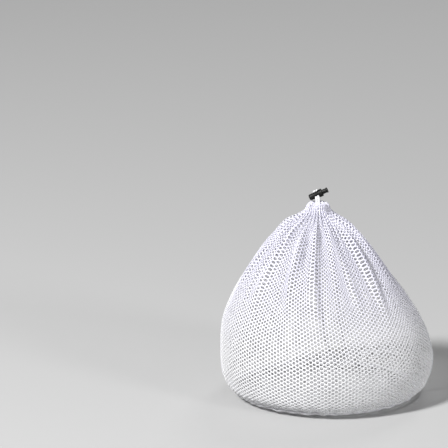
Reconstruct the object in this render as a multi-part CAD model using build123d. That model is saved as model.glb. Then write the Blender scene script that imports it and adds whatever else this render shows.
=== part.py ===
from build123d import *
import os
from math import cos, pi, radians, sin, sqrt, tan

os.makedirs("parts", exist_ok=True)

# Mesh laundry bag, filled out and drawn shut, standing on its round base.
# Millimetres. The origin is the middle of the base on the floor, +Z is up and the front faces -Y.

# ---- driving dimensions: fabric ----
MESH_THICK = 1.2          # the net with its knots
FLOOR_RADIUS = 85.0       # flat part of the base that rests on the floor
BELLY_RADIUS = 121.0      # widest part of the filled bag
BELLY_HEIGHT = 36.0
NECK_RADIUS = 16.5        # where the wall meets the drawstring casing
NECK_HEIGHT = 217.0
NECK_SHIFT = -10.5        # the neck leans this far to the left of the base
LEAN_START = 45.0         # the lean grows between these two heights
LEAN_END = 145.0
SIDE_SEAM_WIDTH = 3.2
SEAM_GAP = 0.1            # clear of the fabric on each side of a seam
PANEL_BREAKS = [88.5, 129.0, 173.0]   # heights where a panel's solid is parted, for its collision
BASE_SEAM_RADIUS = 101.3  # overlocked seam that joins the wall to the base
BASE_SEAM_HEIGHT = 5.7
BASE_SEAM_THICK = 4.0

# ---- driving dimensions: drawstring casing ----
CASING_TOP = 227.0
CASING_HOLE = 6.0         # radius of the hole that stays open in the gathered mouth
CASING_INSET = 0.4        # the casing's foot is this much narrower than the neck
CASING_TAPER = 0.9        # and so is its side, where the top begins to round over
CASING_SIDE = 3.0         # height of that side
CASING_SHOULDER = (12.6, 224.4)   # radius and height half way round the rounded top
CASING_LIP = 1.0          # flat top round the hole
CASING_EDGE = 0.6         # bevel into the hole
CHANNEL_RADIUS = 10.8     # the drawstring's ring inside the casing
CHANNEL_HEIGHT = 220.5
CHANNEL_BULGE = 1.012     # the route's corners stand this much outside its arcs
CHANNEL_PLAY = 0.25
SLIT_PLAY = 0.75          # each side of the two cord ends in the slit
TURN_ROOM = 1.4           # where the ends turn up, the channel is this much deeper
TURN_WIDTH = 6.0
STITCH_THICK = 0.9
STITCH_OUT = 0.35         # the stitching's ring lies this far outside the neck
STITCH_RISE = 2.2

# ---- driving dimensions: drawstring ----
CORD_DIAMETER = 2.5
CORD_SPACING = 2.7        # the two ends run side by side through the lock
KNOT_LENGTH = 11.0
KNOT_THICK = 8.0

# ---- driving dimensions: barrel cord lock ----
LOCK_TILT = 25.0          # the barrel's axis above level, rising to the right
HOLE_TILT = 62.0          # the cord hole turned back from upright
LOCK_CENTRE = Vector(-12.0, 0.0, 235.5)   # middle of the cord hole
HOLE_FROM_END = 9.2       # cord hole from the closed end
BARREL_LENGTH = 16.3
BARREL_END_RADIUS = 3.45
END_ROUND = 1.4           # radius of the closed end's rounded rim
COLLAR_SLOPE = 1.0        # length of the slope up to the collar
COLLAR_EDGE = 0.5
BARREL_MID_RADIUS = 3.9
COLLAR_RADIUS = 4.55
COLLAR_LENGTH = 4.1
BORE_RADIUS = 2.85
END_WALL = 1.3
PLUNGER_RADIUS = 2.65
PLUNGER_START = 5.4
LOCK_LENGTH = 23.0
CAP_RADIUS = 3.1
CAP_LENGTH = 1.6
PRESS_TRAVEL = 2.5
HOLE_WIDTH = 4.0
HOLE_PLAY = 0.15
LUG_WIDTH = 1.6
LUG_LENGTH = 1.2
LUG_RADIUS = 4.1
WINDOW_FROM_END = 0.9     # wall left between the lug's window and the barrel's mouth
CAP_EDGE = 0.3
SPRING_WIRE = 0.5
SPRING_RADIUS = 2.1
SPRING_TURNS = 3.0
SPRING_GAP = 0.05         # at each end, clear of what the spring presses on

# Height and radius of the filled wall, from the base seam to the casing.
WALL_STATIONS = [
    (7.9, 105.6),
    (15.0, 114.6),
    (BELLY_HEIGHT, BELLY_RADIUS),
    (60.0, 120.0),
    (86.0, 114.4),
    (114.0, 101.5),
    (143.0, 83.5),
    (179.0, 56.0),
    (200.0, 36.5),
    (210.0, 25.0),
    (NECK_HEIGHT, NECK_RADIUS),
]
# Height and radius of the base's underside, from the floor to the base seam.
BASE_STATIONS = [(0.0, FLOOR_RADIUS), (1.8, 93.0), (4.3, 98.6)]


def lean(height):
    """How far the bag's axis has moved along X at a height."""
    part_way = min(max((height - LEAN_START) / (LEAN_END - LEAN_START), 0.0), 1.0)
    return NECK_SHIFT * part_way * part_way * (3.0 - 2.0 * part_way)


def hoop(height, radius):
    return Pos(lean(height), 0, height) * Circle(radius)


def wall_cut(index):
    """Level thickness of the wall at a station: the net's own, over the slope's cosine."""
    low = WALL_STATIONS[max(index - 1, 0)]
    high = WALL_STATIONS[min(index + 1, len(WALL_STATIONS) - 1)]
    slope = (high[1] - low[1]) / (high[0] - low[0])
    return MESH_THICK * sqrt(1.0 + slope * slope)


def wall_shell():
    outside = loft([hoop(z, r) for z, r in WALL_STATIONS])
    inside = loft([hoop(z, r - wall_cut(i)) for i, (z, r) in enumerate(WALL_STATIONS)])
    return outside - inside


def seam_band(half_width):
    tall = 2.0 * NECK_HEIGHT
    return Box(4.0 * BELLY_RADIUS, 2.0 * half_width, 2.0 * tall)


def half_space(x_side, y_side):
    far = 2.0 * NECK_HEIGHT
    return Pos(x_side * far, y_side * far, 0) * Box(2.0 * far, 2.0 * far, 2.0 * far)


def panel_break(height):
    """A thin level cut, which leaves the panel as solids of their own above and below."""
    wide = 4.0 * BELLY_RADIUS
    return Pos(0, 0, height) * Box(wide, wide, SEAM_GAP)


def base_panel():
    dish = loft([hoop(z, r) for z, r in BASE_STATIONS])
    top = [(z + MESH_THICK, r - 0.5 * MESH_THICK) for z, r in BASE_STATIONS]
    hollow = loft([hoop(z, r) for z, r in top])
    return dish - hollow


def base_seam():
    ring = Torus(BASE_SEAM_RADIUS, 0.5 * BASE_SEAM_THICK)
    return Pos(0, 0, BASE_SEAM_HEIGHT) * ring


# ---- drawstring route ----
LOCK_AXIS = Vector(cos(radians(LOCK_TILT)), 0, sin(radians(LOCK_TILT)))
UPRIGHT = Vector(-sin(radians(LOCK_TILT)), 0, cos(radians(LOCK_TILT)))
HOLE_AXIS = UPRIGHT * cos(radians(HOLE_TILT)) + Vector(0, sin(radians(HOLE_TILT)), 0)
EXIT_REACH = 4.7          # from the lock's middle to where the tails come out
BEND_REACH = 9.5          # where they start to fall down the back
ENTRY_REACH = 6.0         # where the two ends come in from below
SLIT_EXIT = Vector(-0.2, 1.0, 8.5)   # from the channel to where an end leaves the slit


def ring_point(degrees):
    """A corner of the many-sided path that lies on the casing's channel."""
    reach = CHANNEL_RADIUS * CHANNEL_BULGE
    turn = radians(degrees)
    return Vector(NECK_SHIFT + reach * cos(turn), reach * sin(turn), CHANNEL_HEIGHT)


def riser(side):
    """One end of the cord, from the casing's front slit up through the lock."""
    across = 0.5 * CORD_SPACING * side
    beside = LOCK_AXIS * across
    turn_up = Vector(NECK_SHIFT + across, -CHANNEL_RADIUS, CHANNEL_HEIGHT)
    return [
        turn_up,
        turn_up + SLIT_EXIT,
        LOCK_CENTRE - HOLE_AXIS * ENTRY_REACH + beside,
        LOCK_CENTRE + HOLE_AXIS * EXIT_REACH + beside,
    ]


def drawstring_route():
    around = [ring_point(degrees) for degrees in range(-50, 231, 20)]
    return riser(1)[::-1] + around + riser(-1)


def tail_start(side):
    """Straight out of the lock, to where the cord starts to fall."""
    beside = LOCK_CENTRE + LOCK_AXIS * (0.5 * CORD_SPACING * side)
    return [beside + HOLE_AXIS * EXIT_REACH, beside + HOLE_AXIS * BEND_REACH]


TAIL_RIGHT = tail_start(1) + [
    Vector(-11.6, 15.6, 237.4),
    Vector(-9.6, 20.6, 229.0),
    Vector(-6.0, 30.0, 213.6),
    Vector(0.5, 49.0, 195.4),
    Vector(4.0, 71.0, 169.5),
    Vector(9.0, 90.0, 143.0),
    Vector(9.5, 106.2, 114.5),
    Vector(14.0, 119.6, 87.0),
    Vector(14.5, 125.6, 60.0),
    Vector(18.0, 127.0, 34.0),
    Vector(21.0, 128.6, 16.0),
    Vector(25.0, 134.0, 5.0),
    Vector(31.0, 142.5, 1.5),
    Vector(42.0, 149.0, 1.5),
    Vector(55.0, 151.5, 3.2),
    Vector(64.0, 151.0, 4.0),
]
TAIL_LEFT = tail_start(-1) + [
    Vector(-16.2, 16.2, 235.2),
    Vector(-17.0, 21.4, 226.6),
    Vector(-19.0, 31.5, 211.4),
    Vector(-19.5, 50.6, 193.0),
    Vector(-16.0, 72.5, 167.0),
    Vector(-15.5, 91.4, 140.6),
    Vector(-10.5, 107.4, 112.0),
    Vector(-9.0, 120.2, 84.6),
    Vector(-4.0, 125.8, 58.0),
    Vector(-2.5, 127.2, 33.0),
    Vector(2.0, 129.4, 15.0),
    Vector(7.0, 136.4, 4.6),
    Vector(15.0, 145.0, 1.5),
    Vector(27.5, 153.0, 1.5),
    Vector(41.0, 156.6, 1.6),
    Vector(54.0, 156.0, 3.0),
    Vector(64.0, 154.0, 4.0),
]
KNOT_PLACE = Vector(68.0, 152.3, 4.0)
ARC_SHARE = 0.45


def arc_radii(points):
    """Each arc takes ARC_SHARE of the shorter run beside its corner."""
    radii = []
    for before, corner, after in zip(points, points[1:], points[2:]):
        run_in = corner - before
        run_out = after - corner
        half_turn = radians(run_in.get_angle(run_out)) / 2.0
        radii.append(ARC_SHARE * min(run_in.length, run_out.length) / tan(half_turn))
    return radii


def cord_tube(name, points):
    radii = arc_radii(points)
    path = FilletPolyline(*points, radius=radii)
    start = Plane(origin=path @ 0, z_dir=path % 0)
    tube = sweep(start * Circle(0.5 * CORD_DIAMETER), path=path)
    section = pi * CORD_DIAMETER**2 / 4.0
    print(name, "length", round(path.length, 1), "volume", round(tube.volume, 1))
    print(name, "section x length", round(section * path.length, 1))
    print(name, "arc radii", [round(radius, 1) for radius in radii])
    return tube


def knot():
    """The lump that both ends are tied into."""
    lump = scale(Sphere(0.5 * KNOT_THICK), by=(KNOT_LENGTH / KNOT_THICK, 1.0, 1.0))
    return Pos(*KNOT_PLACE) * lump


# ---- drawstring casing ----
def casing():
    """The gathered hem: a puckered ring with a channel round it and a slit at the front."""
    low = NECK_HEIGHT + 2.0 * SEAM_GAP
    shoulder_start = (NECK_RADIUS - CASING_TAPER, low + CASING_SIDE)
    lip = (CASING_HOLE + CASING_LIP, CASING_TOP)
    with BuildPart() as ring:
        with BuildSketch(Plane.XZ):
            with BuildLine():
                Polyline(
                    (CASING_HOLE, CASING_TOP - CASING_EDGE),
                    (CASING_HOLE, low),
                    (NECK_RADIUS - CASING_INSET, low),
                    shoulder_start,
                )
                ThreePointArc(shoulder_start, CASING_SHOULDER, lip)
                Line(lip, (CASING_HOLE, CASING_TOP - CASING_EDGE))
            make_face()
        revolve(axis=Axis.Z)
    channel_thick = 0.5 * CORD_DIAMETER + CHANNEL_PLAY
    channel = Pos(0, 0, CHANNEL_HEIGHT) * Torus(CHANNEL_RADIUS, channel_thick)
    slit_wide = CORD_SPACING + CORD_DIAMETER + 2.0 * SLIT_PLAY
    slit_tall = 1.5 * (CASING_TOP - CHANNEL_HEIGHT)
    slit_deep = 2.0 * channel_thick + TURN_ROOM
    slit = Pos(0, 0.5 * TURN_ROOM - CHANNEL_RADIUS, CHANNEL_HEIGHT + 0.5 * slit_tall)
    slit = slit * Box(slit_wide, slit_deep, slit_tall)
    bend = Pos(0, 0.5 * TURN_ROOM - CHANNEL_RADIUS, CHANNEL_HEIGHT)
    bend = bend * Box(slit_wide + TURN_WIDTH, slit_deep, 2.0 * channel_thick)
    return Pos(NECK_SHIFT, 0, 0) * (ring.part - channel - slit - bend)


def casing_half(y_side):
    """Each wall panel has its own hem, so the casing is two half rings."""
    return (whole_casing - seam_band(SEAM_GAP)) & half_space(0, y_side)


def hem_stitching():
    ring = Torus(NECK_RADIUS + STITCH_OUT, 0.5 * STITCH_THICK)
    return Pos(NECK_SHIFT, 0, NECK_HEIGHT + STITCH_RISE) * ring


# ---- cord lock, built along its own axis from the closed end, cord hole along local Y ----
def in_lock(part):
    """Moves a part from the lock's own frame: X along the barrel, Y along the cord hole."""
    closed_end = LOCK_CENTRE - LOCK_AXIS * HOLE_FROM_END
    frame = Plane(origin=closed_end, x_dir=LOCK_AXIS, z_dir=LOCK_AXIS.cross(HOLE_AXIS))
    return frame * part


def cylinder_along(start, end, radius):
    length = end - start
    return Pos(start + 0.5 * length, 0, 0) * Rot(0, 90, 0) * Cylinder(radius, length)


def cord_hole(start, end):
    """The slot through which both ends of the cord pass, with round ends."""
    middle = 0.5 * (start + end)
    slot = SlotOverall(end - start, HOLE_WIDTH)
    return Pos(middle, 0, 0) * Rot(90, 0, 0) * extrude(slot, 2.0 * COLLAR_RADIUS, both=True)


def barrel():
    collar_start = BARREL_LENGTH - COLLAR_LENGTH
    corner = END_ROUND * (1.0 - sqrt(0.5))
    with BuildPart() as body:
        with BuildSketch(Plane.XY):
            with BuildLine():
                Line((0, 0), (0, BARREL_END_RADIUS - END_ROUND))
                ThreePointArc(
                    (0, BARREL_END_RADIUS - END_ROUND),
                    (corner, BARREL_END_RADIUS - corner),
                    (END_ROUND, BARREL_END_RADIUS),
                )
                Polyline(
                    (END_ROUND, BARREL_END_RADIUS),
                    (collar_start - COLLAR_SLOPE, BARREL_MID_RADIUS),
                    (collar_start, COLLAR_RADIUS),
                    (BARREL_LENGTH - COLLAR_EDGE, COLLAR_RADIUS),
                    (BARREL_LENGTH, COLLAR_RADIUS - COLLAR_EDGE),
                    (BARREL_LENGTH, 0),
                    (0, 0),
                )
            make_face()
        revolve(axis=Axis.X)
    hole_start = HOLE_FROM_END - 0.5 * (CORD_SPACING + CORD_DIAMETER) - HOLE_PLAY
    hole_end = HOLE_FROM_END + 0.5 * (CORD_SPACING + CORD_DIAMETER) + HOLE_PLAY
    window_end = BARREL_LENGTH - WINDOW_FROM_END
    window_start = window_end - LUG_LENGTH - PRESS_TRAVEL - 2.0 * HOLE_PLAY
    window = Box(window_end - window_start, LUG_WIDTH + 2.0 * HOLE_PLAY, 3.0 * COLLAR_RADIUS)
    body = body.part - cylinder_along(END_WALL, BARREL_LENGTH + 1.0, BORE_RADIUS)
    body = body - cord_hole(hole_start, hole_end)
    return body - Pos(0.5 * (window_start + window_end), 0, 0) * window


def plunger():
    stem = cylinder_along(PLUNGER_START, LOCK_LENGTH - CAP_LENGTH, PLUNGER_RADIUS)
    cap = cylinder_along(LOCK_LENGTH - CAP_LENGTH, LOCK_LENGTH, CAP_RADIUS)
    cap = chamfer(cap.edges().filter_by(GeomType.CIRCLE), CAP_EDGE)
    hole_start = HOLE_FROM_END - 0.5 * (CORD_SPACING + CORD_DIAMETER) - HOLE_PLAY
    hole_end = HOLE_FROM_END + 0.5 * (CORD_SPACING + CORD_DIAMETER) + HOLE_PLAY + PRESS_TRAVEL
    lug_end = BARREL_LENGTH - WINDOW_FROM_END - HOLE_PLAY
    lug = Pos(lug_end - 0.5 * LUG_LENGTH, 0, 0) * Box(LUG_LENGTH, LUG_WIDTH, 2.0 * LUG_RADIUS)
    return stem + cap + lug - cord_hole(hole_start, hole_end)


def spring():
    start = END_WALL + 0.5 * SPRING_WIRE + SPRING_GAP
    end = PLUNGER_START - 0.5 * SPRING_WIRE - SPRING_GAP
    coil = Helix((end - start) / SPRING_TURNS, end - start, SPRING_RADIUS)
    wire = Plane(origin=coil @ 0, z_dir=coil % 0) * Circle(0.5 * SPRING_WIRE)
    return Pos(start, 0, 0) * Rot(0, 90, 0) * sweep(wire, path=coil, is_frenet=True)


wall = wall_shell()
seam_clear = seam_band(0.5 * SIDE_SEAM_WIDTH + SEAM_GAP)
seam_strip = wall & seam_band(0.5 * SIDE_SEAM_WIDTH)
open_wall = wall - seam_clear - [panel_break(height) for height in PANEL_BREAKS]
whole_casing = casing()

nodes = {
    "front_mesh_panel": open_wall & half_space(0, -1),
    "back_mesh_panel": open_wall & half_space(0, 1),
    "base_mesh_panel": base_panel(),
    "side_seam_left": seam_strip & half_space(-1, 0),
    "side_seam_right": seam_strip & half_space(1, 0),
    "base_seam": base_seam(),
    "casing_front": casing_half(-1),
    "casing_back": casing_half(1),
    "hem_stitching": hem_stitching(),
    "drawstring": cord_tube("drawstring", drawstring_route()),
    "drawstring_tail_left": cord_tube("drawstring_tail_left", TAIL_LEFT),
    "drawstring_tail_right": cord_tube("drawstring_tail_right", TAIL_RIGHT),
    "drawstring_knot": knot(),
    "cord_lock_barrel": in_lock(barrel()),
    "cord_lock_plunger": in_lock(plunger()),
    "cord_lock_spring": in_lock(spring()),
}

for name, solid in nodes.items():
    export_step(solid, f"parts/{name}.step")

print("hole axis", [round(v, 4) for v in HOLE_AXIS])
print("lock axis", [round(v, 4) for v in LOCK_AXIS])
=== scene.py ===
from math import cos, pi, radians, sin

import bmesh
import bpy
import numpy as np
from mathutils import Matrix, Vector


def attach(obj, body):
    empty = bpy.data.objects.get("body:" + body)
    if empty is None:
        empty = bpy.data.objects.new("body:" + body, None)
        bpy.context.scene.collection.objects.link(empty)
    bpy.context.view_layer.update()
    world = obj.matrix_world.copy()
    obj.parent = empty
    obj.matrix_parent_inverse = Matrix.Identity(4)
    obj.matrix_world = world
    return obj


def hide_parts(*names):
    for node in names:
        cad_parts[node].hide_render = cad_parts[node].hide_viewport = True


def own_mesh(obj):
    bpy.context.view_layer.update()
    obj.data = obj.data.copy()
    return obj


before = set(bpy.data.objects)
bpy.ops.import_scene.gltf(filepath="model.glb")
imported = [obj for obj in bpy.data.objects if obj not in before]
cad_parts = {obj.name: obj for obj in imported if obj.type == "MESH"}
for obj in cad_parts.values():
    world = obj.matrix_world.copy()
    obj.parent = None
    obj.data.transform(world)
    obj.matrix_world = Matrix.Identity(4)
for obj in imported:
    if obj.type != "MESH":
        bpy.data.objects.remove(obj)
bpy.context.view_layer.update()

# Metres. The bag stands on its round base at the origin, its front faces -Y.
BAG, TAILS, BARREL, PLUNGER = "bag", "cord_tails", "lock_barrel", "lock_plunger"

# ---- the filled bag's outline, as the CAD wall has it: radius and height ----
WALL_OUTLINE = [
    (0.1030, 0.0060), (0.1056, 0.0079), (0.1146, 0.0150), (0.1210, 0.0360),
    (0.1200, 0.0600), (0.1144, 0.0860), (0.1015, 0.1140), (0.0835, 0.1430),
    (0.0560, 0.1790), (0.0365, 0.2000),
    (0.0232, 0.2100), (0.0150, 0.2170),
]
HEM_OUTLINE = [
    (0.0139, 0.2188), (0.0134, 0.2206), (0.0127, 0.2226), (0.0115, 0.2244), (0.0096, 0.2257),
    (0.0077, 0.2262), (0.0065, 0.2252), (0.0061, 0.2228), (0.0061, 0.2190),
]
FRONT_RISE = 0.0026         # the hem is pushed up this much where the cords leave it
FRONT_RISE_PLACE = (0.25, 0.85)     # as the sine of the turn away from the sides
FRONT_RISE_HEIGHT = (0.2190, 0.2255)
BASE_OUTLINE = [
    (0.0, 0.0004), (0.0850, 0.0004), (0.0930, 0.0021), (0.0990, 0.0047), (0.1006, 0.0058),
]
NECK_SHIFT = -0.0105
LEAN_START, LEAN_END = 0.045, 0.145

# ---- the net: a warp-knit mesh with staggered six-sided holes ----
COLUMNS = 96                # holes side by side round the bag
ROW_PITCH = 0.0045          # holes above each other in one column
HOLE_WIDE, HOLE_TALL = 0.53, 0.66    # of the pitch each way
HEM_HOLE = 0.62             # the folded hem is double, so its holes are partly shut
HEM_START, STITCH_HEIGHT = 0.2170, 0.2192
BASE_PITCH_RADIUS = 0.115   # where the wall's columns are as far apart as the base's
NET_THICK = 0.0005
SAME_PLACE = 0.00002        # corners closer than this are merged
FLAT_FACE = 1e-10           # square metres: a face folded flat against the border

# ---- folds. A wave is how often it goes round the bag, where it starts and its size ----
PLEATS, FOLDS, BILLOWS, PUCKERS = 38, 19, 5, 53
GATHER_DRIFT = [(2, 0.7, 0.06), (3, 2.1, 0.04), (7, 0.0, 0.015)]
PLEAT_UNEVEN = [(5, 1.0, 0.22), (9, 4.0, 0.18)]
PLEAT_DEPTH, PLEAT_SINK = 0.0021, 0.0012
HEM_SHALLOWER, HEM_SINKS_LESS = 0.0011, 0.0008
FOLD_DEPTH, BILLOW_DEPTH, BELLY_DEPTH, PUCKER_DEPTH = 0.0030, 0.0026, 0.0018, 0.0008
FOLD_UNEVEN = [(4, 2.0, 0.35)]
BILLOW_PACE, BILLOW_START = 9.0, 0.6        # how fast they slant as the wall rises
BELLY_PACES = (30.0, 22.0)
# Radii from where each kind begins to where it is full, going in, and where it ends near the neck.
PLEATS_FROM, PLEATS_TO, PLEATS_IN_MOUTH = (0.062, 0.020), (0.006, 0.0125), 0.35
FOLDS_FROM, FOLDS_TO = (0.100, 0.050), (0.018, 0.045)
BILLOWS_FROM, BILLOWS_TO = (0.119, 0.085), (0.025, 0.080)
COLUMNS_PULLED_FROM = (0.114, 0.070)
HEM_HEIGHTS, BELLY_HEIGHTS, BELLY_RADII = (0.2165, 0.2200), (0.010, 0.040), (0.070, 0.110)
PUCKER_HEIGHTS = (0.024, 0.007)
COLUMN_PULL = [(24, 0.0, 0.55 / 24), (9, 2.0, 0.40 / 9), (48, 1.0, 0.30 / 48)]
COLUMN_DRIFT = [(3, 1.0, 0.05)]
CREASE_WIDE = 0.0042
CREASE_BESIDE, CREASE_BESIDE_PLACE = 0.45, 2.2      # the cloth sinks on both sides of a crease
CREASE_WANDER, CREASE_WANDER_PACE = radians(3.0), 40.0
CREASE_TOP = (0.018, 0.040)
CREASE_FADE = 0.030         # each one comes in over this much radius
CREASE_TIGHTEST = 0.030     # and gets no narrower, as an angle, above this radius

# ---- seams ----
SIDE_SEAM_WIDE, SIDE_SEAM_THICK = 0.0030, 0.0016
BASE_SEAM_RADIUS, BASE_SEAM_HEIGHT = 0.1013, 0.0057
BASE_SEAM_WIDE, BASE_SEAM_THICK = 0.0038, 0.0026
BASE_SEAM_OUT = 0.0021      # the seam lies round the wall's foot
THREAD = 0.00055
SIDE_STITCH, BASE_STITCH = 0.0021, 0.0013     # how far apart the overlocking lies
POINTS_PER_STITCH = 12
SIDE_SEAM_LIFT, SIDE_SEAM_POINTS, SIDE_SEAM_START = 0.0004, 160, 0.001
SIDE_SEAM_NARROWS, SIDE_SEAM_NARROWS_FROM = 0.5, 0.180
BASE_SEAM_POINTS = 720
BASE_SEAM_RISE = ((43, 0.0, 2.0, 5), 0.0004), ((19, 1.0, 0.0, 1), 0.0003)
BASE_SEAM_SWAY = ((37, 0.0, 1.7, 4), 0.0004), ((23, 0.0, 0.0, 1), 0.0003)
BASE_SEAM_FACES = (0.6, -0.8)       # outwards and down
HEM_STITCH_LIFT, HEM_STITCH_STEP = 0.0005, 0.00025
HEM_STITCH, HEM_STITCH_GAP = 8, 5   # in those steps
HEM_STITCH_TAPER = 0.45

# ---- drawstring ----
CORD = 0.0025
CORD_SPACING = 0.0027
CHANNEL_RADIUS, CHANNEL_HEIGHT = 0.0108, 0.2205
RING_REACH = 1.012          # a spline passes inside its points, so they stand this much out
ENTRY_REACH = 0.0060        # from the lock's middle along its cord hole, where the cords go in
EXIT_REACH, TURN_REACH = 0.0047, 0.0078     # where they come out, and where they turn down
SLIT_EXIT = Vector((-0.0002, 0.0010, 0.0085))   # from the channel to where an end leaves the slit
BRAID_STRANDS, BRAID_LAY = 5, 2.6 * CORD
BRAID_LOW, BRAID_RELIEF = 0.955, 0.045
COIL_POINTS = 120           # along the knot's wraps

# ---- cord lock, along its own axis from the closed end ----
LOCK_TILT, HOLE_TILT = radians(25.0), radians(62.0)
LOCK_CENTRE = Vector((-0.0120, 0.0, 0.2355))
HOLE_FROM_END = 0.0092
HOLE_WIDTH, HOLE_LENGTH = 0.0040, 0.0055
BARREL_SHAPE = [            # distance from the closed end and radius, outside and then bore
    (0.0, 0.00205), (0.00018, 0.00262), (0.00041, 0.00304), (0.00085, 0.00334),
    (0.0014, 0.00345), (0.0112, 0.00390), (0.0122, 0.00455), (0.0128, 0.00455),
    (0.0130, 0.00432), (0.0133, 0.00432), (0.0135, 0.00455), (0.0142, 0.00455),
    (0.0144, 0.00432), (0.0147, 0.00432), (0.0149, 0.00455), (0.0159, 0.00455),
    (0.0163, 0.00415), (0.0163, 0.00310), (0.0161, 0.00285), (0.0013, 0.00285),
]
PLUNGER_SHAPE = [
    (0.0054, 0.00240), (0.00565, 0.00265), (0.0209, 0.00265), (0.0212, 0.00240),
    (0.0214, 0.00240), (0.0214, 0.00285), (0.02165, 0.00310), (0.0227, 0.00310),
    (0.0230, 0.00280), (0.0230, 0.00225), (0.02275, 0.00195),
]
WINDOW = (0.01125, 0.0154)  # where the lug shows, in the barrel
WINDOW_PLAY = 0.00015
LUG = (0.01405, 0.01525)
LUG_WIDE, LUG_TALL = 0.0016, 0.0082
THROUGH, CUTTER_DEPTH = 0.008, 0.014        # cutters reach well out of the lock
EDGE_BEVEL = 0.00012
PRESS_TRAVEL = 0.0025
SPRING_ENDS = (0.00160, 0.00510)
SPRING_RADIUS, SPRING_WIRE, SPRING_TURNS = 0.0021, 0.0005, 4.2
SPRING_CLOSER_ENDS = 0.11   # the end turns lie closer together
LOCK_AXIS = Vector((cos(LOCK_TILT), 0.0, sin(LOCK_TILT)))
UPRIGHT = Vector((-sin(LOCK_TILT), 0.0, cos(LOCK_TILT)))
HOLE_AXIS = UPRIGHT * cos(HOLE_TILT) + Vector((0.0, sin(HOLE_TILT), 0.0))


# ======================================================================= camera
VIEW_CLIP = (0.05, 20.0)
VIEW_WIDE = 0.5150          # what the frame takes in at the bag, from side to side
VIEW_RISE = radians(16.0)   # the camera looks down on the bag by this much
VIEW_AWAY = 5.0
BAG_RIGHT, BAG_BELOW = 0.1184, 0.0870     # how far the bag's middle is from the frame's
BAG_MIDDLE = Vector((0.0, 0.0, 0.110))


def add_camera():
    data = bpy.data.cameras.new("camera")
    camera = bpy.data.objects.new("camera", data)
    bpy.context.scene.collection.objects.link(camera)
    back = Vector((0.0, -cos(VIEW_RISE), sin(VIEW_RISE)))
    up = Vector((0.0, sin(VIEW_RISE), cos(VIEW_RISE)))
    aim = BAG_MIDDLE - Vector((BAG_RIGHT, 0.0, 0.0)) + up * BAG_BELOW
    camera.location = BAG_MIDDLE + back * VIEW_AWAY
    camera.rotation_mode = "QUATERNION"
    camera.rotation_quaternion = (aim - camera.location).to_track_quat("-Z", "Y")
    data.lens = data.sensor_width * VIEW_AWAY / VIEW_WIDE
    data.clip_start, data.clip_end = VIEW_CLIP
    bpy.context.scene.camera = camera


# ======================================================================= materials
class Socket:
    """One shader value, so that shader maths can be written as expressions."""

    def __init__(self, nodes, link):
        self.nodes, self.link = nodes, link

    def maths(self, operation, other):
        return self.nodes.add("ShaderNodeMath", {"operation": operation}, [self, other])

    def __add__(self, other):
        return self.maths("ADD", other)

    def __mul__(self, other):
        return self.maths("MULTIPLY", other)

    __radd__ = __add__
    __rmul__ = __mul__


class Nodes:
    """A material's node tree."""

    def __init__(self, name):
        self.material = bpy.data.materials.new(name)
        self.material.use_nodes = True
        self.tree = self.material.node_tree
        self.shader = self.tree.nodes["Principled BSDF"]

    def add(self, kind, settings=None, values=(), output=0):
        """Adds a node, sets it up, fills its sockets and returns one of its outputs."""
        node = self.tree.nodes.new(kind)
        for name, value in (settings or {}).items():
            setattr(node, name, value)
        pairs = values.items() if isinstance(values, dict) else enumerate(values)
        for key, value in pairs:
            value = value.link if isinstance(value, Socket) else value
            if isinstance(value, bpy.types.NodeSocket):
                self.tree.links.new(value, node.inputs[key])
            else:
                node.inputs[key].default_value = value
        return Socket(self, node.outputs[output])

    def set(self, **values):
        """Constant values, and links, on the shader's own sockets."""
        for name, value in values.items():
            socket = self.shader.inputs[name.replace("_", " ")]
            if isinstance(value, Socket):
                self.tree.links.new(value.link, socket)
            else:
                socket.default_value = value

    def place(self):
        return self.add("ShaderNodeTexCoord", output="Object")

    def noise(self, scale, detail):
        values = {"Vector": self.place(), "Scale": scale, "Detail": detail}
        return self.add("ShaderNodeTexNoise", None, values)

    def bands(self, **values):
        """Slanting bands, for the lie of knitted, twisted or braided threads."""
        settings = {"wave_type": "BANDS", "bands_direction": "DIAGONAL"}
        return self.add("ShaderNodeTexWave", settings, {"Vector": self.place(), **values})

    def mix(self, share, first, second):
        settings = {"data_type": "RGBA"}
        values = {"Factor": share, 6: first, 7: second}
        return self.add("ShaderNodeMix", settings, values, output=2)

    def bump(self, height, distance, strength=1.0):
        values = {"Height": height, "Distance": distance, "Strength": strength}
        self.set(Normal=self.add("ShaderNodeBump", None, values))


def grey(value, tint=0.0):
    """A grey, with a little more blue in it by the tint."""
    return (value, value, value * (1.0 + tint), 1.0)


DULL_WHITE, BRIGHT_WHITE = (0.66, 0.66, 0.68, 1.0), (0.76, 0.76, 0.77, 1.0)
# The lilac is painted shade: the lilac-grey that the white strands show in shade, put into their
# colour
LILAC_SHADE = (0.67, 0.66, 0.78, 1.0)
LILAC_SHADE_HEIGHTS, LILAC_SHADE_SHARE = (0.05, 0.16), 0.8      # the painted lilac shade comes in between these heights


def net_material():
    """White polyester net: knitted strands, with a painted lilac shade over its upper part."""
    nodes = Nodes("white_net")
    knit = nodes.bands(Scale=900.0, Distortion=2.0, Detail=1.0)
    fibre = nodes.noise(scale=2600.0, detail=3.0)
    cloud = nodes.noise(scale=22.0, detail=2.0)
    height = nodes.add("ShaderNodeSeparateXYZ", None, [nodes.place()], output=2)
    upper_shade = nodes.add("ShaderNodeMapRange", {"interpolation_type": "SMOOTHSTEP"},
                      [height, *LILAC_SHADE_HEIGHTS, 0.0, 1.0])
    white = nodes.mix(cloud, DULL_WHITE, BRIGHT_WHITE)
    # painted shade: towards the top, the net's white is mixed with the lilac shade
    nodes.set(Base_Color=nodes.mix(upper_shade * LILAC_SHADE_SHARE, white, LILAC_SHADE),
              Roughness=fibre * 0.2 + 0.5, Specular_IOR_Level=0.3, Sheen_Weight=0.1,
              Sheen_Roughness=0.5)
    nodes.bump(knit * 0.7 + fibre * 0.3, distance=0.0002)
    return nodes.material


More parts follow.
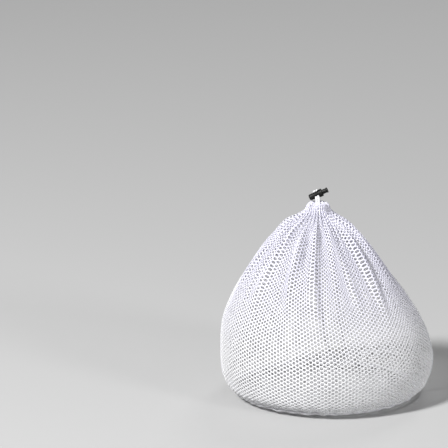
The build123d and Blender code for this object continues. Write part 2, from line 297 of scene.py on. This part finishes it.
def thread_material():
    nodes = Nodes("white_thread")
    twist = nodes.bands(Scale=1500.0, Distortion=1.0)
    nodes.set(Base_Color=nodes.mix(twist, grey(0.58, 0.05), grey(0.74, 0.03)),
              Roughness=0.6, Sheen_Weight=0.2)
    nodes.bump(twist, distance=0.0001)
    return nodes.material


def cord_material():
    """Braided polyester: the braid is in the mesh, and its fibres are here."""
    nodes = Nodes("white_cord")
    fibre = nodes.bands(Scale=2200.0, Distortion=3.0)
    dirt = nodes.noise(scale=60.0, detail=3.0)
    nodes.set(Base_Color=nodes.mix(dirt, grey(0.66, 0.04), grey(0.76, 0.02)),
              Roughness=fibre * 0.15 + 0.5, Sheen_Weight=0.3)
    nodes.bump(fibre, distance=0.00008)
    return nodes.material


def lock_material():
    """Black moulded plastic with a fine grain, a little paler and smoother where it is rubbed."""
    nodes = Nodes("black_plastic")
    grain = nodes.noise(scale=3500.0, detail=2.0)
    wear = nodes.noise(scale=180.0, detail=4.0)
    nodes.set(Base_Color=nodes.mix(wear, grey(0.003), grey(0.009)),
              Roughness=wear * 0.25 + 0.36, Specular_IOR_Level=0.2)
    nodes.bump(grain, distance=0.00005, strength=0.6)
    return nodes.material


def steel_material():
    nodes = Nodes("spring_steel")
    drawn = nodes.noise(scale=1800.0, detail=1.0)
    nodes.set(Base_Color=nodes.mix(drawn, grey(0.42), grey(0.62)), Metallic=1.0,
              Roughness=drawn * 0.2 + 0.25)
    return nodes.material


def floor_material():
    nodes = Nodes("pale_floor")
    nodes.set(Base_Color=grey(0.36), Roughness=0.9)
    return nodes.material


# ======================================================================= mesh helpers
def new_piece(name, corners, faces, material):
    mesh = bpy.data.meshes.new(name)
    mesh.from_pydata([tuple(corner) for corner in corners], [], faces)
    mesh.validate()
    mesh.materials.append(material)
    mesh.polygons.foreach_set("use_smooth", [True] * len(mesh.polygons))
    piece = bpy.data.objects.new(name, mesh)
    bpy.context.scene.collection.objects.link(piece)
    return piece


def apply_modifier(piece, kind, **settings):
    bpy.ops.object.select_all(action="DESELECT")
    bpy.context.view_layer.objects.active = piece
    piece.select_set(True)
    modifier = piece.modifiers.new(kind.lower(), kind)
    for name, value in settings.items():
        setattr(modifier, name, value)
    bpy.ops.object.modifier_apply(modifier=modifier.name)
    piece.select_set(False)


def settle(piece, body, slot, *nodes):
    """Says which body a piece moves with and which CAD nodes it stands for. Its finish, the slot,
    is not used.
    """
    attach(piece, body)
    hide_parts(*nodes)
    return piece


def lengths_along(rows):
    """How far along the line each of its points is."""
    return np.concatenate([[0.0], np.cumsum(np.linalg.norm(np.diff(rows, axis=0), axis=1))])


def smooth_line(points, steps=48):
    """A dense line that bends smoothly through a few points, as rows of coordinates."""
    points = np.array(points, float)
    run = lengths_along(points)
    slope = np.gradient(points, run, axis=0)
    rows = []
    for i in range(len(points) - 1):
        length = run[i + 1] - run[i]
        t = np.linspace(0.0, 1.0, steps, endpoint=i == len(points) - 2)[:, None]
        between = (2 * t**3 - 3 * t**2 + 1) * points[i] + (3 * t**2 - 2 * t**3) * points[i + 1]
        leaving = (t**3 - 2 * t**2 + t) * length * slope[i]
        arriving = (t**3 - t**2) * length * slope[i + 1]
        rows.append(between + leaving + arriving)
    return np.concatenate(rows)


def step_up(value, low, high):
    """0 below low, 1 above high and a smooth step between."""
    share = np.clip((value - low) / (high - low), 0.0, 1.0)
    return share * share * (3.0 - 2.0 * share)


def step_down(value, high, low):
    """0 above high, 1 below low and a smooth step between."""
    return step_up(-value, -high, -low)


def waves(turn, table):
    """Several sine waves round the bag, added up."""
    return sum(size * np.sin(times * turn + start) for times, start, size in table)


def lean(height):
    """How far the bag's middle lies to the side at a height."""
    return NECK_SHIFT * step_up(height, LEAN_START, LEAN_END)


class Outline:
    """A line of radius and height that the net follows, measured along the cloth."""

    def __init__(self, points):
        line = smooth_line(points)
        self.run = lengths_along(line)
        self.radius, self.height = line[:, 0], line[:, 1]
        along = np.gradient(line, self.run, axis=0)
        along /= np.linalg.norm(along, axis=1)[:, None]
        self.out_radius, self.out_height = along[:, 1], -along[:, 0]
        self.length = self.run[-1]

    def at(self, run):
        values = (self.radius, self.height, self.out_radius, self.out_height)
        return [np.interp(run, self.run, value) for value in values]


side_line = Outline(WALL_OUTLINE + HEM_OUTLINE)


def run_at(height):
    """How far up the cloth a height is, on the way up to the hem."""
    way_up = np.argmax(side_line.height)
    return float(np.interp(height, side_line.height[:way_up], side_line.run[:way_up]))


# Long creases that run down from the neck: turn in degrees, radius where each ends, depth.
CREASES = [
    (-94, 0.116, 0.0034), (-62, 0.104, 0.0028), (-117, 0.100, 0.0026), (-42, 0.112, 0.0032),
    (-140, 0.108, 0.0030), (-18, 0.098, 0.0026), (-166, 0.100, 0.0026), (22, 0.106, 0.0030),
    (48, 0.096, 0.0026), (71, 0.112, 0.0032), (101, 0.100, 0.0028), (128, 0.108, 0.0030),
    (155, 0.098, 0.0026),
]


def creases(turn, radius):
    """How far the cloth stands out at its creases, each a ridge with a dip on both sides."""
    total = np.zeros_like(turn)
    for degrees, end, depth in CREASES:
        away = (turn - radians(degrees) + pi) % (2 * pi) - pi
        drift = CREASE_WANDER * np.sin(CREASE_WANDER_PACE * radius + degrees)
        reach = (away + drift) * np.maximum(radius, CREASE_TIGHTEST) / CREASE_WIDE
        fade = step_down(radius, end, end - CREASE_FADE) * step_up(radius, *CREASE_TOP)
        dips = CREASE_BESIDE * np.exp(-(np.abs(reach) - CREASE_BESIDE_PLACE)**2)
        total += depth * fade * (np.exp(-reach**2) - dips)
    return total


def folds(turn, radius, height):
    """How far the cloth stands out, with pleats that deepen towards the gathered neck and hem."""
    bent = turn + waves(turn, GATHER_DRIFT)
    in_hem = step_up(height, *HEM_HEIGHTS)
    in_mouth = PLEATS_IN_MOUTH + (1.0 - PLEATS_IN_MOUTH) * step_up(radius, *PLEATS_TO)
    near_neck = step_down(radius, *PLEATS_FROM) * in_mouth
    uneven = 0.80 + waves(turn, PLEAT_UNEVEN)
    pleats = (PLEAT_DEPTH - HEM_SHALLOWER * in_hem) * near_neck * uneven * np.cos(PLEATS * bent)
    pleats = pleats - (PLEAT_SINK - HEM_SINKS_LESS * in_hem) * near_neck
    on_slope = step_down(radius, *FOLDS_FROM) * step_up(radius, *FOLDS_TO)
    drift = 0.35 * np.sin(2 * turn + 14.0 * height)
    middle = FOLD_DEPTH * on_slope * (0.8 + waves(turn, FOLD_UNEVEN))
    middle = middle * np.cos(FOLDS * bent + drift)
    on_shoulder = step_down(radius, *BILLOWS_FROM) * step_up(radius, *BILLOWS_TO)
    slant = BILLOW_START + BILLOW_PACE * height
    broad = BILLOW_DEPTH * on_shoulder * np.cos(BILLOWS * turn + slant)
    on_belly = step_up(height, *BELLY_HEIGHTS) * step_up(radius, *BELLY_RADII)
    one_way, other_way = (pace * height for pace in BELLY_PACES)
    belly = np.sin(4 * turn + one_way) * np.sin(3 * turn + 1.3 - other_way)
    belly = BELLY_DEPTH * belly * on_belly
    puckers = np.sin(PUCKERS * bent + 2.0 * np.sin(6 * turn))
    at_seam = PUCKER_DEPTH * step_down(height, *PUCKER_HEIGHTS) * puckers
    return pleats + middle + broad + belly + at_seam + creases(turn, radius)


def bunched(turn, radius):
    """Draws the net's columns together into radiating bands, more so towards the neck."""
    pull = waves(turn + waves(turn, COLUMN_DRIFT), COLUMN_PULL)
    return turn + pull * step_down(radius, *COLUMNS_PULLED_FROM)


def cloth_points(turn, run, lift=0.0):
    """Points on the folded cloth at each turn round the bag and run up it."""
    radius, height, out_radius, out_height = side_line.at(run)
    turn = bunched(turn, radius)
    out = folds(turn, radius, height) + lift
    reach = radius + out * out_radius
    level = height + out * out_height
    in_front = step_up(-np.sin(turn), *FRONT_RISE_PLACE)
    level = level + FRONT_RISE * in_front * step_up(height, *FRONT_RISE_HEIGHT)
    return np.stack([lean(level) + reach * np.cos(turn), reach * np.sin(turn), level], axis=-1)


# ======================================================================= net
def hole_corners(wide, tall):
    """A hole's six corners about its middle, anticlockwise from the right."""
    half = wide / 2
    return [(wide, 0.0), (half, tall), (-half, tall), (-wide, 0.0), (-half, -tall), (half, -tall)]


def net_sheet(across, up, pitch_across, pitch_up, open_share):
    """Corner places, as pairs across and up, and faces of a flat net that covers the two ranges.

    open_share(up) says how much of their full size the holes have."""
    corners, faces, number = [], [], {}
    last_row = int((up[1] - up[0]) / (pitch_up / 2)) + 3
    last_column = int(round((across[1] - across[0]) / pitch_across)) + 2
    for row in range(-1, last_row):
        for column in range(-1, last_column):
            number[column, row] = len(corners)
            middle_across = across[0] + (column + 0.5 * (row % 2)) * pitch_across
            middle_up = up[0] + row * pitch_up / 2
            share = open_share(middle_up)
            wide, tall = share * HOLE_WIDE / 2 * pitch_across, share * HOLE_TALL / 2 * pitch_up
            for dx, dy in hole_corners(wide, tall):
                corners.append((middle_across + dx, middle_up + dy))
    for (column, row), a in number.items():
        right = column + row % 2
        above = number.get((column, row + 2))
        right_up, right_down = number.get((right, row + 1)), number.get((right, row - 1))
        left_up, left_down = number.get((right - 1, row + 1)), number.get((right - 1, row - 1))
        if above is not None:
            faces.append((a + 1, above + 5, above + 4, a + 2))
        if right_up is not None:
            faces.append((a, right_up + 4, right_up + 3, a + 1))
        if right_down is not None:
            faces.append((a + 5, right_down + 3, right_down + 2, a))
        if right_up is not None and right_down is not None:
            faces.append((a, right_down + 2, right_up + 4))
        if left_up is not None and left_down is not None:
            faces.append((a + 3, left_up + 5, left_down + 1))
    return np.array(corners), faces


def tidy_net(piece):
    """Drops the net that was folded flat against its border, and gives it its thickness."""
    shape = bmesh.new()
    shape.from_mesh(piece.data)
    bmesh.ops.remove_doubles(shape, verts=shape.verts, dist=SAME_PLACE)
    bmesh.ops.dissolve_degenerate(shape, edges=shape.edges, dist=SAME_PLACE)
    flat = [face for face in shape.faces if face.calc_area() < FLAT_FACE]
    bmesh.ops.delete(shape, geom=flat, context="FACES")
    loose = [corner for corner in shape.verts if not corner.link_faces]
    bmesh.ops.delete(shape, geom=loose, context="VERTS")
    shape.to_mesh(piece.data)
    shape.free()
    apply_modifier(piece, "SOLIDIFY", thickness=NET_THICK, offset=0.0)


def side_panel(name, start, material):
    """Half of the bag's side with its hem, from one side seam round to the other."""
    hem_run = run_at(HEM_START)

    def open_share(run):
        return HEM_HOLE if run > hem_run else 1.0

    ranges = (start, start + pi), (0.0, side_line.length)
    places, faces = net_sheet(*ranges, 2 * pi / COLUMNS, ROW_PITCH, open_share)
    turn = np.clip(places[:, 0], start, start + pi)
    run = np.clip(places[:, 1], 0.0, side_line.length)
    piece = new_piece(name, cloth_points(turn, run), faces, material)
    tidy_net(piece)
    return piece


def base_panel(material):
    """The round base, flat on the floor and turned up at its rim."""
    line = smooth_line(BASE_OUTLINE[1:])
    line = np.vstack([[BASE_OUTLINE[0]], line])
    rim = line[-1, 0]
    pitch = 2 * pi * BASE_PITCH_RADIUS / COLUMNS
    places, faces = net_sheet((-rim, rim), (-rim, rim), pitch, ROW_PITCH, lambda run: 1.0)
    away = np.linalg.norm(places, axis=1)
    shrink = np.minimum(1.0, rim / np.maximum(away, 1e-9))
    places, away = places * shrink[:, None], away * shrink
    height = np.interp(away, line[:, 0], line[:, 1])
    piece = new_piece("base_net", np.column_stack([places, height]), faces, material)
    tidy_net(piece)
    return piece


# ======================================================================= tubes
def path_frames(path, outward=None, closed=False):
    """Side and out directions at each point of a path."""
    if closed:
        along = np.roll(path, -1, axis=0) - np.roll(path, 1, axis=0)
    else:
        along = np.gradient(path, axis=0)
    along = along / np.linalg.norm(along, axis=1)[:, None]
    if outward is None:
        out = np.zeros_like(path)
        guess = np.array([0.0, 0.0, 1.0] if abs(along[0, 2]) < 0.9 else [1.0, 0.0, 0.0])
        for i, direction in enumerate(along):
            guess = guess - direction * guess.dot(direction)
            guess /= np.linalg.norm(guess)
            out[i] = guess
    else:
        out = outward - along * np.sum(outward * along, axis=1)[:, None]
        out /= np.linalg.norm(out, axis=1)[:, None]
    return np.cross(out, along), out


def tube(path, wide, thick, sides, outward=None, closed=False, swell=None):
    """Corners and faces of a tube along a path. swell(angle, point number) scales its section."""
    side, out = path_frames(path, outward, closed)
    angle = np.arange(sides) * 2 * pi / sides
    if swell is None:
        scale = np.ones((len(path), sides))
    else:
        scale = swell(angle[None, :], np.arange(len(path))[:, None])
    across = side[:, None, :] * (np.cos(angle)[None, :, None] * wide / 2)
    up = out[:, None, :] * (np.sin(angle)[None, :, None] * thick / 2)
    corners = (path[:, None, :] + (across + up) * scale[:, :, None]).reshape(-1, 3)
    faces = []
    for i in range(len(path) if closed else len(path) - 1):
        here, there = i * sides, (i + 1) % len(path) * sides
        for j in range(sides):
            k = (j + 1) % sides
            faces.append((here + j, here + k, there + k, there + j))
    if not closed:
        faces.append(tuple(range(sides))[::-1])
        faces.append(tuple((len(path) - 1) * sides + j for j in range(sides)))
    return corners, faces


def joined(*meshes):
    """Several sets of corners and faces as one."""
    corners, faces, count = [], [], 0
    for some_corners, some_faces in meshes:
        corners.append(some_corners)
        faces += [tuple(index + count for index in face) for face in some_faces]
        count += len(some_corners)
    return np.vstack(corners), faces


def even_path(path, gap, closed=False):
    """The same line with evenly spaced points."""
    if closed:
        path = np.vstack([path, path[:1]])
    run = lengths_along(path)
    places = np.linspace(0.0, run[-1], int(round(run[-1] / gap)) + 1)
    rows = np.column_stack([np.interp(places, run, path[:, axis]) for axis in range(3)])
    return rows[:-1] if closed else rows


def overlock(path, outward, wide, thick, pitch, closed=False, width=None):
    """A thread wound over a seam in slanting stitches."""
    turns = int(round(lengths_along(path)[-1] / pitch))
    points = turns * POINTS_PER_STITCH
    share = np.arange(points) / points if closed else np.linspace(0.0, 1.0, points)
    side, out = path_frames(path, outward, closed)
    place = share * (len(path) if closed else len(path) - 1)
    low = np.floor(place).astype(int)
    high = (low + 1) % len(path) if closed else np.minimum(low + 1, len(path) - 1)
    rest = (place - low)[:, None]

    def between(rows):
        return rows[low] * (1 - rest) + rows[high] * rest

    angle = share[:, None] * turns * 2 * pi
    if width is not None:
        side, out = side * width[:, None], out * width[:, None]
    across = between(side) * np.cos(angle) * (wide + THREAD / 2) / 2
    up = between(out) * np.sin(angle) * (thick + THREAD / 2) / 2
    return tube(between(path) + across + up, THREAD, THREAD, 5, closed=closed)


# ======================================================================= seams
def side_seam(name, turn, material):
    """An overlocked seam up the bag's side, which narrows towards the neck."""
    top = run_at(STITCH_HEIGHT)
    run = np.linspace(SIDE_SEAM_START, top, SIDE_SEAM_POINTS)
    turns = np.full_like(run, turn)
    path = cloth_points(turns, run, lift=SIDE_SEAM_LIFT)
    outward = cloth_points(turns, run, lift=0.01) - path
    narrower = 1.0 - SIDE_SEAM_NARROWS * step_up(run, SIDE_SEAM_NARROWS_FROM, top)

    def swell(angle, i):
        return narrower[i] + 0 * angle

    wide, thick = SIDE_SEAM_WIDE, SIDE_SEAM_THICK
    core = tube(path, wide, thick, 10, outward, swell=swell)
    stitches = overlock(path, outward, wide, thick, SIDE_STITCH, width=narrower)
    return new_piece(name, *joined(core, stitches), material)


def uneven_waves(turn, table):
    """Waves that speed up and slow down as they go round, added up."""
    return sum(size * np.sin(times * turn + start + swing * np.sin(swings * turn))
               for (times, start, swing, swings), size in table)


def base_seam(material):
    """The overlocked seam round the foot, a little uneven in height and reach."""
    turn = np.linspace(0.0, 2 * pi, BASE_SEAM_POINTS, endpoint=False)
    radius = BASE_SEAM_RADIUS + BASE_SEAM_OUT + uneven_waves(turn, BASE_SEAM_SWAY)
    height = BASE_SEAM_HEIGHT + uneven_waves(turn, BASE_SEAM_RISE)
    round_x, round_y = np.cos(turn), np.sin(turn)
    path = np.column_stack([radius * round_x, radius * round_y, height])
    out, down = BASE_SEAM_FACES
    outward = np.column_stack([round_x * out, round_y * out, np.full_like(turn, down)])
    wide, thick = BASE_SEAM_WIDE, BASE_SEAM_THICK
    core = tube(path, wide, thick, 12, outward, closed=True)
    stitches = overlock(path, outward, wide, thick, BASE_STITCH, closed=True)
    return new_piece("base_seam_overlock", *joined(core, stitches), material)


def hem_stitches(material):
    """Separate stitches along the foot of the hem, in and out of its puckers."""
    turns = np.linspace(0.0, 2 * pi, 1440, endpoint=False)
    run = np.full_like(turns, run_at(STITCH_HEIGHT))
    path = cloth_points(turns, run, lift=HEM_STITCH_LIFT)
    path = even_path(path, gap=HEM_STITCH_STEP, closed=True)

    def swell(angle, i):
        from_middle = np.abs(i / (HEM_STITCH - 1) * 2 - 1)
        return 1.0 - HEM_STITCH_TAPER * from_middle ** 4 + 0 * angle

    starts = range(0, len(path) - HEM_STITCH, HEM_STITCH + HEM_STITCH_GAP)
    stitches = [tube(path[start:start + HEM_STITCH], THREAD, THREAD, 6, swell=swell)
                for start in starts]
    return new_piece("hem_stitch_line", *joined(*stitches), material)


# ======================================================================= drawstring
def ring_point(degrees):
    reach = CHANNEL_RADIUS * RING_REACH
    turn = radians(degrees)
    return Vector((NECK_SHIFT + reach * cos(turn), reach * sin(turn), CHANNEL_HEIGHT))


def riser(side):
    """From the ring up through the lock, on the left (-1) or the right (1)."""
    across = CORD_SPACING / 2 * side
    beside = LOCK_AXIS * across
    turn_up = Vector((NECK_SHIFT + across, -CHANNEL_RADIUS, CHANNEL_HEIGHT))
    return [
        turn_up,
        turn_up + SLIT_EXIT,
        LOCK_CENTRE - HOLE_AXIS * ENTRY_REACH + beside,
        LOCK_CENTRE + HOLE_AXIS * EXIT_REACH + beside,
    ]


def tail_start(side):
    """Where a tail leaves the lock, and the point it turns down from."""
    beside = LOCK_AXIS * (CORD_SPACING / 2 * side)
    return [LOCK_CENTRE + HOLE_AXIS * reach + beside for reach in (EXIT_REACH, TURN_REACH)]


TAIL_RIGHT = tail_start(1) + [
    (-0.0112, 0.0136, 0.2358), (-0.0096, 0.0196, 0.2280), (-0.0060, 0.0300, 0.2136),
    (0.0005, 0.0490, 0.1954), (0.0040, 0.0710, 0.1695), (0.0090, 0.0900, 0.1430),
    (0.0095, 0.1062, 0.1145), (0.0140, 0.1196, 0.0870), (0.0145, 0.1256, 0.0600),
    (0.0180, 0.1270, 0.0340), (0.0210, 0.1286, 0.0160), (0.0250, 0.1340, 0.0050),
    (0.0310, 0.1425, 0.0015), (0.0420, 0.1490, 0.0015), (0.0550, 0.1515, 0.0032),
    (0.0640, 0.1510, 0.0040),
]
TAIL_LEFT = tail_start(-1) + [
    (-0.0160, 0.0138, 0.2340), (-0.0170, 0.0200, 0.2260), (-0.0190, 0.0315, 0.2114),
    (-0.0195, 0.0506, 0.1930), (-0.0160, 0.0725, 0.1670), (-0.0155, 0.0914, 0.1406),
    (-0.0105, 0.1074, 0.1120), (-0.0090, 0.1202, 0.0846), (-0.0040, 0.1258, 0.0580),
    (-0.0025, 0.1272, 0.0330), (0.0020, 0.1294, 0.0150), (0.0070, 0.1364, 0.0046),
    (0.0150, 0.1450, 0.0015), (0.0275, 0.1530, 0.0015), (0.0410, 0.1566, 0.0016),
    (0.0540, 0.1560, 0.0030), (0.0640, 0.1540, 0.0040),
]
KNOT_START = Vector((0.0635, 0.1524, 0.0040))
KNOT_WAY = Vector((1.0, 0.03, 0.0)).normalized()
KNOT_TURNS, KNOT_LENGTH, KNOT_WRAP, KNOT_INSET = 2.6, 0.0068, 0.00265, 0.0016
KNOT_BRAID = (0.0003, 16)   # the gap between its rings of corners, and corners in a ring
KNOT_ENDS = [(0.0012, 0.0035), (-0.0012, -0.0020)]      # how far to the side, and how far it bends
KNOT_END_LINE = [           # how far on, how far down and how much of the bend
    (0.0, 0.0, 0.0), (0.006, 0.0, 0.0), (0.011, -0.0004, 0.2), (0.0150, -0.0020, 0.7),
    (0.0190, -0.0027, 1.4),
]


def smooth_route(name, points):
    """Points along the NURBS spline that has the route's points as its control points."""
    curve = bpy.data.curves.new(name, "CURVE")
    curve.dimensions = "3D"
    spline = curve.splines.new("NURBS")
    spline.points.add(len(points) - 1)
    for place, point in zip(spline.points, points):
        place.co = (*point, 1.0)
    spline.order_u = 3
    spline.use_endpoint_u = True
    spline.resolution_u = 16
    holder = bpy.data.objects.new(name, curve)
    bpy.context.scene.collection.objects.link(holder)
    bpy.context.view_layer.update()
    mesh = bpy.data.meshes.new_from_object(holder)
    rows = np.array([corner.co[:] for corner in mesh.vertices])
    bpy.data.meshes.remove(mesh)
    bpy.data.objects.remove(holder)
    bpy.data.curves.remove(curve)
    return rows


def braid(path, gap=0.0004, sides=20):
    """A round braided cord: two sets of strands wind round it and cross over each other."""
    path = even_path(path, gap)

    def swell(angle, i):
        wind = 2 * pi * i * gap / BRAID_LAY
        one = np.cos(BRAID_STRANDS * (angle + wind))
        other = np.cos(BRAID_STRANDS * (angle - wind))
        return BRAID_LOW + BRAID_RELIEF * np.maximum(one, other)

    return tube(path, CORD, CORD, sides, swell=swell)


def add_cords(material):
    ring = [ring_point(degrees) for degrees in range(-50, 231, 20)]
    path = smooth_route("ring_route", riser(1)[::-1] + ring + riser(-1))
    settle(new_piece("drawstring_braid", *braid(path), material), BAG, "cord", "drawstring")
    knot = add_knot(material)
    for name, node, points in (
        ("tail_braid_left", "drawstring_tail_left", TAIL_LEFT),
        ("tail_braid_right", "drawstring_tail_right", TAIL_RIGHT),
    ):
        path = smooth_route(name + "_route", points)
        piece = settle(new_piece(name, *braid(path), material), TAILS, "cord", node)


def add_knot(material):
    """Both cord ends go in side by side, under three tight wraps, and come out as cut ends."""
    start, way = np.array(KNOT_START), np.array(KNOT_WAY)
    up = np.array([0.0, 0.0, 1.0])
    side = np.cross(up, way)
    share = np.linspace(0.0, 1.0, COIL_POINTS)[:, None]
    angle = share * KNOT_TURNS * 2 * pi
    round_it = side * np.cos(angle) * KNOT_WRAP + up * np.sin(angle) * KNOT_WRAP
    coil = start + way * (KNOT_INSET + share * KNOT_LENGTH) + round_it
    parts = [braid(coil, *KNOT_BRAID)]
    for across, bend in KNOT_ENDS:
        ends = [start + side * across + way * reach + up * drop + side * bend * sway
                for reach, drop, sway in KNOT_END_LINE]
        parts.append(braid(smooth_route("knot_end", ends), *KNOT_BRAID))
    piece = new_piece("end_knot", *joined(*parts), material)
    return settle(piece, TAILS, "cord", "drawstring_knot")


# ======================================================================= cord lock
def nothing_selected():
    if bpy.context.mode != "OBJECT":
        bpy.ops.object.mode_set(mode="OBJECT")
    bpy.ops.object.select_all(action="DESELECT")


def turned_bar(name, shape, sides=48):
    """A round bar along X: a thin disc whose end is extruded through the shape's steps."""
    nothing_selected()
    (first, radius), (second, next_radius) = shape[:2]
    bpy.ops.mesh.primitive_cylinder_add(
        vertices=sides, radius=radius, depth=second - first,
        location=((first + second) / 2, 0.0, 0.0), rotation=(0.0, pi / 2, 0.0),
    )
    bar = bpy.context.active_object
    bar.name = bar.data.name = name
    bpy.ops.object.transform_apply(location=True, rotation=True, scale=True)
    for face in bar.data.polygons:
        face.select = face.normal.x > 0.9       # only the far end
    for edge in bar.data.edges:
        edge.select = False
    for corner in bar.data.vertices:
        corner.select = corner.co.x > (first + second) / 2
    bpy.ops.object.mode_set(mode="EDIT")
    bpy.ops.mesh.select_mode(type="FACE")
    grow = next_radius / radius
    bpy.ops.transform.resize(value=(1.0, grow, grow))
    for (here, this), (there, that) in zip(shape[1:], shape[2:]):
        step = {"value": (there - here, 0.0, 0.0)}
        bpy.ops.mesh.extrude_region_move(TRANSFORM_OT_translate=step)
        bpy.ops.transform.resize(value=(1.0, that / this, that / this))
    bpy.ops.mesh.select_all(action="SELECT")
    bpy.ops.mesh.normals_make_consistent(inside=False)
    bpy.ops.object.mode_set(mode="OBJECT")
    return bar


def cut_or_join(piece, tool, operation):
    apply_modifier(piece, "BOOLEAN", operation=operation, object=tool, solver="EXACT")
    bpy.data.objects.remove(tool)


def block(name, low, high):
    nothing_selected()
    middle = [(a + b) / 2 for a, b in zip(low, high)]
    size = [b - a for a, b in zip(low, high)]
    bpy.ops.mesh.primitive_cube_add(size=1.0, location=middle, scale=size)
    box = bpy.context.active_object
    box.name = name
    bpy.ops.object.transform_apply(location=True, rotation=True, scale=True)
    return box


def hole_cutter(length):
    """A slot with round ends, through the lock from side to side."""
    nothing_selected()
    middle = HOLE_FROM_END - HOLE_LENGTH / 2 + HOLE_WIDTH / 2
    bpy.ops.mesh.primitive_cylinder_add(
        vertices=32, radius=HOLE_WIDTH / 2, depth=CUTTER_DEPTH,
        location=(middle, 0.0, 0.0), rotation=(pi / 2, 0.0, 0.0),
    )
    cutter = bpy.context.active_object
    bpy.ops.object.transform_apply(location=True, rotation=True, scale=True)
    for corner in cutter.data.vertices:
        corner.select = corner.co.x > middle + 0.00001
    bpy.ops.object.mode_set(mode="EDIT")
    bpy.ops.mesh.select_mode(type="VERT")
    bpy.ops.transform.translate(value=(length - HOLE_WIDTH, 0.0, 0.0))
    bpy.ops.object.mode_set(mode="OBJECT")
    return cutter


def finish_moulding(piece, body, node, material):
    """Softens the moulding's edges and sets it in its place on the bag."""
    apply_modifier(piece, "BEVEL", width=EDGE_BEVEL, segments=2, limit_method="ANGLE",
                   angle_limit=radians(40))
    nothing_selected()
    piece.select_set(True)
    bpy.context.view_layer.objects.active = piece
    bpy.ops.object.shade_smooth_by_angle(angle=radians(38))
    piece.select_set(False)
    place_in_lock(piece)
    piece.data.materials.clear()
    piece.data.materials.append(material)
    settle(piece, body, "lock_plastic", node)


def lock_place():
    """From the lock's own frame, X along the barrel and Y along the cord hole, to the bag's."""
    closed_end = LOCK_CENTRE - LOCK_AXIS * HOLE_FROM_END
    columns = [LOCK_AXIS, HOLE_AXIS, LOCK_AXIS.cross(HOLE_AXIS), closed_end]
    place = Matrix.Identity(4)
    for number, column in enumerate(columns):
        for row in range(3):
            place[row][number] = column[row]
    return place


def place_in_lock(piece):
    piece.data.transform(lock_place())
    piece.data.update()


def add_barrel(plastic):
    barrel = turned_bar("lock_barrel_moulding", BARREL_SHAPE)
    cut_or_join(barrel, hole_cutter(HOLE_LENGTH), "DIFFERENCE")
    wide = LUG_WIDE / 2 + WINDOW_PLAY
    window = block("window", (WINDOW[0], -wide, -THROUGH), (WINDOW[1], wide, THROUGH))
    cut_or_join(barrel, window, "DIFFERENCE")
    finish_moulding(barrel, BARREL, "cord_lock_barrel", plastic)


def add_plunger(plastic):
    """The button, with its snap lugs and a hole that is longer by the press."""
    plunger = turned_bar("lock_plunger_moulding", PLUNGER_SHAPE)
    wide, tall = LUG_WIDE / 2, LUG_TALL / 2
    lug = block("lug", (LUG[0], -wide, -tall), (LUG[1], wide, tall))
    cut_or_join(plunger, lug, "UNION")
    cut_or_join(plunger, hole_cutter(HOLE_LENGTH + PRESS_TRAVEL), "DIFFERENCE")
    finish_moulding(plunger, PLUNGER, "cord_lock_plunger", plastic)


def add_spring(steel):
    share = np.linspace(0.0, 1.0, 160)
    climb = share - SPRING_CLOSER_ENDS * np.sin(2 * pi * share)
    angle = share * SPRING_TURNS * 2 * pi
    along = SPRING_ENDS[0] + (SPRING_ENDS[1] - SPRING_ENDS[0]) * climb
    round_it = SPRING_RADIUS * np.cos(angle), SPRING_RADIUS * np.sin(angle)
    corners, faces = tube(np.column_stack([along, *round_it]), SPRING_WIRE, SPRING_WIRE, 10)
    spring = new_piece("lock_spring_coil", corners, faces, steel)
    place_in_lock(spring)
    settle(spring, BARREL, "spring_wire", "cord_lock_spring")
    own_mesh(spring)


# ======================================================================= light and floor
FLOOR_SIZE = 12.0
AMBIENT = 0.22
LIGHTS = [                  # name, place, what it points at, size and watts
    ("key", (-2.5, -2.5, 3.4), (0.0, 0.0, 0.1), 0.9, 430.0),
    ("fill", (3.2, -2.8, 1.5), (0.0, 0.0, 0.1), 1.2, 90.0),
    ("rim", (0.9, 3.0, 2.8), (0.0, 0.0, 0.15), 1.4, 35.0),
]


def add_light(name, place, aim, size, power):
    data = bpy.data.lights.new(name, "AREA")
    data.shape = "DISK"
    data.size, data.energy = size, power
    lamp = bpy.data.objects.new(name, data)
    lamp.location = place
    lamp.rotation_mode = "QUATERNION"
    lamp.rotation_quaternion = (Vector(aim) - Vector(place)).to_track_quat("-Z", "Y")
    bpy.context.scene.collection.objects.link(lamp)


def add_studio():
    bpy.ops.object.select_all(action="DESELECT")
    bpy.ops.mesh.primitive_plane_add(size=FLOOR_SIZE, location=(0.0, 0.0, 0.0))
    floor = bpy.context.active_object
    floor.name = "floor"
    floor.data.materials.append(floor_material())
    floor.select_set(False)
    for light in LIGHTS:
        add_light(*light)
    world = bpy.data.worlds.new("studio")
    world.use_nodes = True
    background = world.node_tree.nodes["Background"]
    background.inputs["Color"].default_value = grey(1.0)
    background.inputs["Strength"].default_value = AMBIENT
    bpy.context.scene.world = world
    bpy.context.scene.view_settings.view_transform = "Standard"


# ======================================================================= the bag
def add_fabric(net, thread):
    for name, start, nodes in (
        ("front_net", -pi, ("front_mesh_panel", "casing_front")),
        ("back_net", 0.0, ("back_mesh_panel", "casing_back")),
    ):
        panel = settle(side_panel(name, start, net), BAG, "net", *nodes)
    base = settle(base_panel(net), BAG, "net", "base_mesh_panel")
    settle(side_seam("left_seam_overlock", pi, thread), BAG, "thread", "side_seam_left")
    settle(side_seam("right_seam_overlock", 0.0, thread), BAG, "thread", "side_seam_right")
    settle(base_seam(thread), BAG, "thread", "base_seam")
    settle(hem_stitches(thread), BAG, "thread", "hem_stitching")


add_camera()
add_cords(cord_material())
add_studio()
add_fabric(net_material(), thread_material())
black = lock_material()
add_barrel(black)
add_plunger(black)
add_spring(steel_material())
